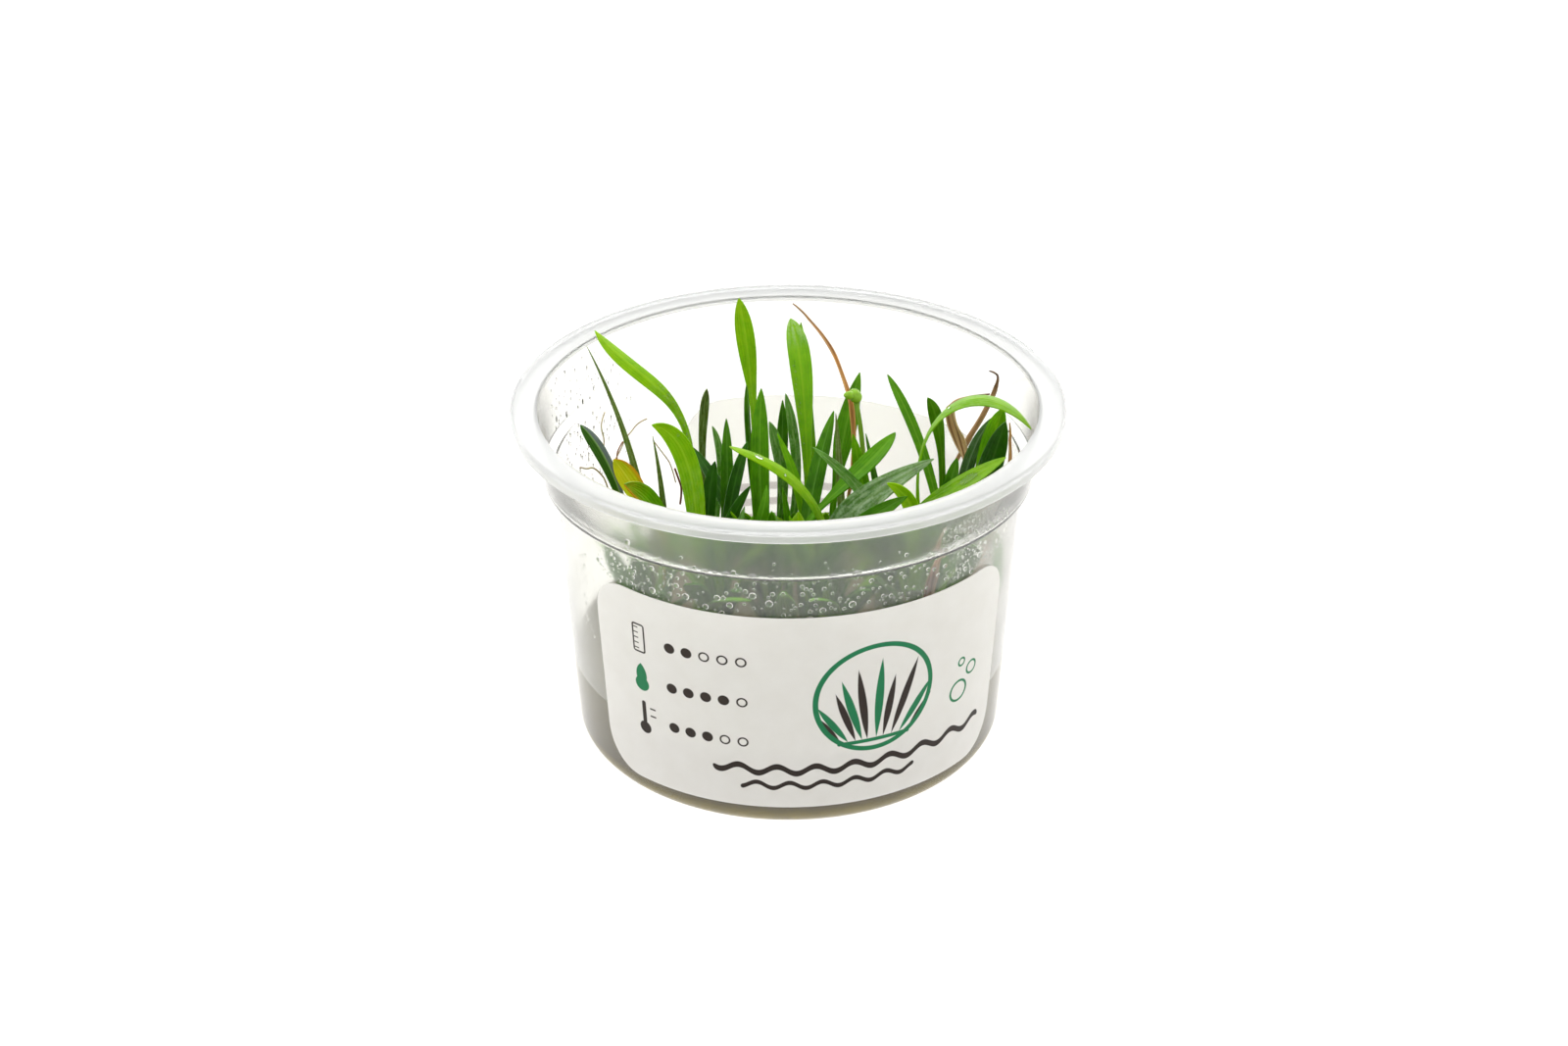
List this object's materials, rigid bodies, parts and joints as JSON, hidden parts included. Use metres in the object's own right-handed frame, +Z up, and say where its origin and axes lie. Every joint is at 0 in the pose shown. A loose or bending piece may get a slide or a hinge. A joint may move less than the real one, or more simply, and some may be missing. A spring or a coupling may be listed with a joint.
{
  "type": "tissue culture aquarium plant in cup",
  "caption": "Low grassy tuft of narrow green leaves rooted in culture gel inside a frosted lidless plastic cup with a stacking step, flanged rim and wrapped paper labels.",
  "frame": {"origin": "centre of the cup's flat underside, on the cup's turning axis", "axes": "+Z up along the cup's axis through the open rim, -Y towards the front label's side that the picture shows, +X to the right of that side"},
  "size_m": [0.101, 0.101, 0.0687],
  "materials": {
    "cup": "frosted translucent polypropylene, 0.6 mm thick",
    "gel": "moist cloudy culture gel, slightly translucent",
    "label": null,
    "crown": "moist living plant tissue, yellow-green to pale at the foot",
    "leaf_bright": "satin living leaf, bright yellow-green",
    "leaf_mid": "satin living leaf, mid green with a grey sheen",
    "leaf_dark": "satin living leaf, dark green with a grey-violet sheen",
    "dry_leaf": "withered leaf, orange-tan to brown",
    "flower": "satin pale green stalk and closed bud"
  },
  "bodies": {
    "root": {"cup": "cup", "gel": "gel", "label_front": "label", "label_back": "label", "crown_a": "crown", "crown_b": "crown", "crown_c": "crown", "crown_d": "crown", "crown_e": "crown", "crown_f": "crown", "crown_g": "crown", "crown_h": "crown", "crown_i": "crown", "crown_j": "crown", "leaf_01": "leaf_bright", "leaf_02": "leaf_dark", "leaf_03": "leaf_dark", "leaf_04": "leaf_bright", "leaf_05": "leaf_bright", "leaf_06": "leaf_dark", "leaf_07": "leaf_bright", "leaf_08": "leaf_dark", "leaf_09": "leaf_dark", "leaf_10": "leaf_bright", "leaf_11": "leaf_mid", "leaf_12": "leaf_dark", "leaf_13": "leaf_dark", "leaf_14": "leaf_dark", "leaf_15": "leaf_mid", "leaf_16": "leaf_bright", "leaf_17": "leaf_bright", "leaf_18": "leaf_dark", "leaf_19": "leaf_dark", "leaf_20": "leaf_mid", "leaf_21": "leaf_bright", "leaf_22": "leaf_dark", "leaf_23": "leaf_mid", "leaf_24": "leaf_bright", "leaf_25": "leaf_mid", "leaf_26": "leaf_mid", "leaf_27": "leaf_bright", "leaf_28": "leaf_mid", "leaf_29": "leaf_mid", "leaf_30": "leaf_bright", "leaf_31": "leaf_dark", "leaf_32": "leaf_bright", "leaf_33": "leaf_dark", "leaf_34": "leaf_dark", "leaf_35": "leaf_mid", "dry_leaf_1": "dry_leaf", "dry_leaf_2": "dry_leaf", "dry_leaf_3": "dry_leaf", "dry_leaf_4": "dry_leaf", "dry_leaf_5": "dry_leaf", "flower_stalk": "flower"}
  },
  "joints": []
}
